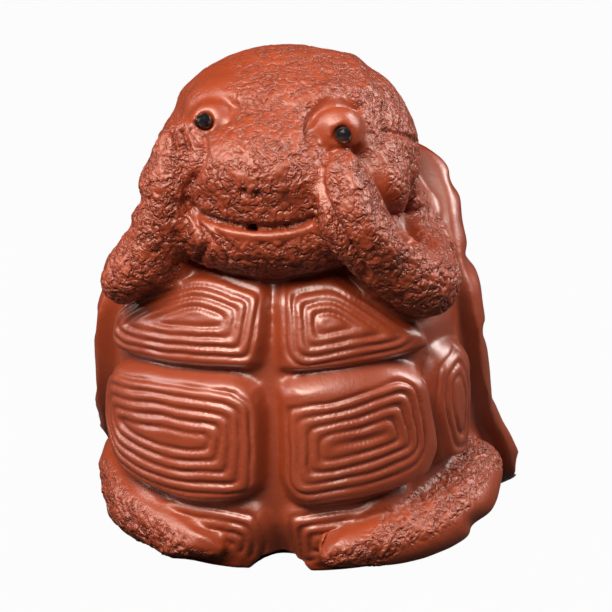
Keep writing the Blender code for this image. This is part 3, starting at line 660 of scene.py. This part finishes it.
def wrinkled_zone():
    """Where the skin is wrinkled: head, arms, and a broad band along each leg."""
    left_band = below(at, LEFT_WRINKLES_START, 5) * (1 - below(at, LEFT_WRINKLES_END, 6))
    band = np.where(at[:, 0] < FEET_PART, below(at, RIGHT_WRINKLES_START, 5), left_band)
    plain_leg = legs * (1 - np.where(P[:, 1] < 5, band, 0.2))
    zone = np.maximum(np.maximum(head, arms), legs * (1 - plain_leg)) * (1 - belly) * outer
    zone *= 1 - shell_side * (1 - arms) * (1 - legs)
    eyes = np.minimum(distance(P, LEFT_EYE), distance(P, RIGHT_EYE))
    zone *= smooth(4.6, 5.6, eyes) * (1 - calm_zone())
    return spread(zone, 3)


def network(p, size, thin, seed):
    """Winding creases: 1 along the line where slow noise changes sign, 0 away from it."""
    return np.clip(1 - abs(noise(p, size, seed)) * thin, 0, 1)


def wrinkles(p):
    """The creases of the skin from 0 to 1, and the lumps between them."""
    w = warped(p, 2.2, 1.3, 31)
    patchy = smooth(-0.45, 0.25, noise(p, 3.2, 42))
    fold = network(w, 2.1, 4.5, 41) * patchy
    small = network(w, 1.5, 4.0, 43) * (1 - 0.6 * patchy)
    return np.clip(np.maximum(fold, 0.8 * small), 0, 1), noise(w, 2.4, 47)


skin = wrinkled_zone()
chin = head * smooth(57.0, 53.5, P[:, 2])
flank = head * smooth(14.0, 18.0, P[:, 0]) * smooth(66.0, 60.0, P[:, 2])
rough = np.maximum.reduce([chin, flank, arms, legs])
crease, lump = wrinkles(P)
pressed = (CREASE_DEPTH + ROUGH_CREASE_DEPTH * rough) * crease
raised = (LUMP_RISE + ROUGH_LUMP_RISE * rough) * lump
P = P - N * ((pressed - raised) * skin)[:, None]
low, high = (np.array(v) * 1000 - AXIS for v in cad_box)
P = np.clip(P, low + BOX_MARGIN, high - BOX_MARGIN)
N = normals(P)

# Materials


class Value:
    """A shader value that can be added, multiplied and so on."""

    def __init__(self, tree, socket):
        self.tree = tree
        self.socket = socket

    def math(self, kind, other=None, swap=False):
        node = self.tree.nodes.new("ShaderNodeMath")
        node.operation = kind
        for slot, value in zip((1, 0) if swap else (0, 1), (self, other)):
            feed(self.tree, node.inputs[slot], value)
        return Value(self.tree, node.outputs[0])

    def __add__(self, other):
        return self.math("ADD", other)

    __radd__ = __add__

    def __mul__(self, other):
        return self.math("MULTIPLY", other)

    __rmul__ = __mul__

    def __sub__(self, other):
        return self.math("SUBTRACT", other)

    def __rsub__(self, other):
        return self.math("SUBTRACT", other, swap=True)


def feed(tree, socket, value):
    """Links a value to a socket, or sets the socket to it."""
    if isinstance(value, Value):
        tree.links.new(value.socket, socket)
    else:
        socket.default_value = value


class Shader:
    """A material with a Principled shader and short ways to make the nodes that feed it."""

    def __init__(self, name):
        self.material = bpy.data.materials.new(name)
        self.material.use_nodes = True
        self.tree = self.material.node_tree
        self.main = self.tree.nodes["Principled BSDF"]
        self.place = Value(self.tree, self.tree.nodes.new("ShaderNodeTexCoord").outputs["Object"])

    def node(self, kind, output, inputs, **settings):
        """Any node: its type, the output wanted, what its sockets get, and its settings."""
        node = self.tree.nodes.new(kind)
        for key, value in settings.items():
            setattr(node, key, value)
        for key, value in inputs.items():
            feed(self.tree, node.inputs[key], value)
        return Value(self.tree, node.outputs[output])

    def noise(self, scale, detail=2.0, roughness=0.5, output=0):
        inputs = {"Vector": self.place, "Scale": scale, "Detail": detail, "Roughness": roughness}
        return self.node("ShaderNodeTexNoise", output, inputs)

    def greater(self, a, b):
        return self.node("ShaderNodeMath", 0, {0: a, 1: b}, operation="MAXIMUM")

    def crease(self, place, scale, thin):
        """Winding thin lines: 1 where a noise is at its middle, falling to 0 beside it."""
        wave = self.node("ShaderNodeTexNoise", 0, {"Vector": place, "Scale": scale, "Detail": 1.0})
        gap = self.node("ShaderNodeMath", 0, {0: wave - 0.5}, operation="ABSOLUTE")
        return self.greater(1.0 - gap * thin, 0.0)

    def mapped(self, value, low, high, to_low=0.0, to_high=1.0):
        return self.node("ShaderNodeMapRange", 0, {0: value, 1: low, 2: high, 3: to_low, 4: to_high})

    def attribute(self, name):
        return self.node("ShaderNodeAttribute", "Fac", {}, attribute_name=name)

    def mix(self, share, a, b):
        return self.node("ShaderNodeMix", 2, {0: share, 6: a, 7: b}, data_type="RGBA")

    def set(self, **values):
        for key, value in values.items():
            feed(self.tree, self.main.inputs[key.replace("_", " ")], value)

    def bump(self, height, distance, strength=1.0):
        inputs = {"Strength": strength, "Distance": distance, "Height": height}
        self.set(Normal=self.node("ShaderNodeBump", 0, inputs))


DEEP_RED, WARM_RED = (0.205, 0.025, 0.004, 1), (0.250, 0.034, 0.006, 1)
# The crease colour on the next line is painted shade: creases, ring grooves and thin skin lines are darkened
# towards it.
DUSTY_RED, CREASE_PAINTED_SHADE = (0.29, 0.048, 0.015, 1), (0.09, 0.008, 0.002, 1)
CLAY_SHEEN = (1.0, 0.86, 0.78, 1)
CREASE_BEND = (0.0016, 0.0016, 0.0016)


def clay_material():
    m = Shader("red_clay_fired")
    deep = m.attribute("crease")
    worn = m.attribute("skin")
    cloud = m.noise(60.0, 4.0, 0.6)
    speck = m.noise(1500.0, 2.0, 0.6)
    grain = m.noise(2600.0, 3.0, 0.6)
    push = m.node("ShaderNodeVectorMath", 0, {0: m.noise(700.0, 1.0, 0.5, output=1), 1: (0.5, 0.5, 0.5)},
                  operation="SUBTRACT")
    bent = m.node("ShaderNodeVectorMath", 0, {0: push, 1: CREASE_BEND, 2: m.place}, operation="MULTIPLY_ADD")
    lines = m.crease(bent, 560.0, 10.0) * m.mapped(m.noise(380.0), 0.42, 0.56)
    hairs = m.crease(bent, 1000.0, 8.0) * m.mapped(m.noise(500.0), 0.48, 0.60)
    mark = m.greater(lines, hairs * 0.7) * worn
    warm = m.mix(m.mapped(cloud, 0.35, 0.68), DEEP_RED, WARM_RED)
    dusty = m.mix(m.mapped(speck, 0.55, 0.75, 0.0, 0.25), warm, DUSTY_RED)
    # Painted shade: the clay colour is darkened where the skin's creases and the rings' grooves are deep, and
    # along the thin lines of the skin.
    dark = m.greater(m.mapped(deep, 0.2, 0.95), mark * 0.7)
    m.set(Base_Color=m.mix(dark * 0.75, dusty, CREASE_PAINTED_SHADE),
          Roughness=m.mapped(cloud + speck * 0.3, 0.5, 0.95, 0.40, 0.50) + worn * 0.07,
          Specular_IOR_Level=0.9, Specular_Tint=CLAY_SHEEN,
          Coat_Weight=m.attribute("polish") * 0.6, Coat_Roughness=0.36)
    m.bump((mark * -1.0 + m.noise(620.0, 1.0) * worn * 0.9) + (grain + speck) * 0.12, 0.00028)
    return m.material


def bead_material():
    m = Shader("black_glass_bead")
    tone = m.noise(900.0, 2.0)
    m.set(Base_Color=m.mix(tone, (0.004, 0.004, 0.005, 1), (0.012, 0.012, 0.014, 1)),
          Roughness=m.mapped(tone, 0.3, 0.7, 0.03, 0.08), Coat_Weight=1.0, Coat_Roughness=0.02)
    return m.material


def floor_material():
    """White where the camera sees it, dark where the clay mirrors it."""
    m = Shader("pale_floor")
    m.set(Base_Color=(0.025, 0.022, 0.020, 1), Roughness=0.9)
    glow = m.node("ShaderNodeEmission", 0, {"Color": (1, 1, 1, 1)})
    seen = m.node("ShaderNodeLightPath", "Is Camera Ray", {}) * 0.97
    dull = Value(m.tree, m.main.outputs[0])
    blend = m.node("ShaderNodeMixShader", 0, {0: seen, 1: dull, 2: glow})
    feed(m.tree, m.tree.nodes["Material Output"].inputs["Surface"], blend)
    return m.material


# Pieces

def piece(name, keep, material, values):
    """A piece of the skin made of the triangles that are kept, with the normals of the whole skin."""
    tris = T[keep]
    used, index = np.unique(tris, return_inverse=True)
    made = bpy.data.meshes.new(name)
    made.vertices.add(len(used))
    made.vertices.foreach_set("co", ((P[used] + AXIS) / 1000).astype(np.float32).ravel())
    made.loops.add(index.size)
    made.loops.foreach_set("vertex_index", index.astype(np.int32).ravel())
    made.polygons.add(len(tris))
    made.polygons.foreach_set("loop_start", np.arange(0, index.size, 3, dtype=np.int32))
    made.update(calc_edges=True)
    made.shade_smooth()
    for key, value in values.items():
        layer = made.attributes.new(key, "FLOAT", "POINT")
        layer.data.foreach_set("value", value[used].astype(np.float32))
    made.materials.append(material)
    made.normals_split_custom_set_from_vertices(N[used])
    obj = bpy.data.objects.new(name, made)
    bpy.context.scene.collection.objects.link(obj)
    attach(obj, "root")
    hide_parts("turtle_body")


polish = np.clip(belly + shell_side, 0, 1) * (1 - arms) * (1 - legs) * (1 - head)
# The crease value holds the depth of the skin's creases and of the rings' grooves, and the clay material
# paints shade there.
values = {"crease": spread(np.maximum(crease * skin, 1.2 * cut * belly), 1), "skin": skin,
          "polish": spread(polish, 3)}
upper = (head + arms)[T].mean(1) > 0.5
behind = P[T].mean(1)[:, 1] > -1.0
clay = clay_material()
piece("turtle_head_and_arms", upper, clay, values)
piece("turtle_belly_and_legs", ~upper & ~behind, clay, values)
piece("turtle_shell", ~upper & behind, clay, values)

bead = bead_material()
for name in ("left_eye_bead", "right_eye_bead"):
    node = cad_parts[name]
    node.data.materials.clear()
    node.data.materials.append(bead)


# Floor, light and camera, in metres

FLOOR_HALF = 3.0
SKY_COLOUR, SKY_STRENGTH = (1.0, 0.80, 0.70, 1), 0.015
SENSOR = 36
SOFTBOXES = {
    "front": ((-0.12, -0.34, 0.38), (0, -0.01, 0.04), (0.50, 0.16), 5.6, (1.0, 0.93, 0.86)),
    "overhead": ((-0.04, -0.04, 0.50), (0, 0, 0.04), (0.30, 0.20), 0.3, (1.0, 0.93, 0.87)),
    "right_side": ((0.34, 0.10, 0.32), (0, 0, 0.05), (0.16, 0.30), 2.6, (1, 1, 1)),
    "left_side": ((-0.42, -0.04, 0.24), (0, 0, 0.04), (0.12, 0.30), 1.0, (1, 1, 1)),
}


def add_floor():
    bm = bmesh.new()
    bmesh.ops.create_grid(bm, x_segments=1, y_segments=1, size=FLOOR_HALF)
    made = bpy.data.meshes.new("floor")
    bm.to_mesh(made)
    bm.free()
    made.materials.append(floor_material())
    floor = bpy.data.objects.new("floor", made)
    bpy.context.scene.collection.objects.link(floor)


def add_sky():
    world = bpy.data.worlds.new("studio")
    bpy.context.scene.world = world
    world.use_nodes = True
    sky = world.node_tree.nodes["Background"]
    sky.inputs["Color"].default_value = SKY_COLOUR
    sky.inputs["Strength"].default_value = SKY_STRENGTH


def placed(name, data, place, aim):
    """An object at a place that looks along a direction."""
    obj = bpy.data.objects.new(name, data)
    bpy.context.scene.collection.objects.link(obj)
    obj.location = place
    obj.rotation_mode = "QUATERNION"
    obj.rotation_quaternion = Vector(aim).to_track_quat("-Z", "Y")
    return obj


def add_softbox(name, place, look, size, power, colour):
    light = bpy.data.lights.new(name, "AREA")
    light.shape = "RECTANGLE"
    light.size, light.size_y = size
    light.energy = power
    light.color = colour
    placed(name, light, place, Vector(look) - Vector(place))


def add_camera():
    data = bpy.data.cameras.new("camera")
    data.sensor_width = SENSOR
    data.lens = SENSOR * DISTANCE / (PICTURE_SIDE / PX)
    data.clip_start = 0.01
    bpy.context.scene.camera = placed("camera", data, Vector((EYE_POINT + AXIS) / 1000), -BACKWARD)


add_floor()
add_sky()
for name, settings in SOFTBOXES.items():
    add_softbox(name, *settings)
add_camera()
bpy.context.scene.view_settings.view_transform = "Standard"
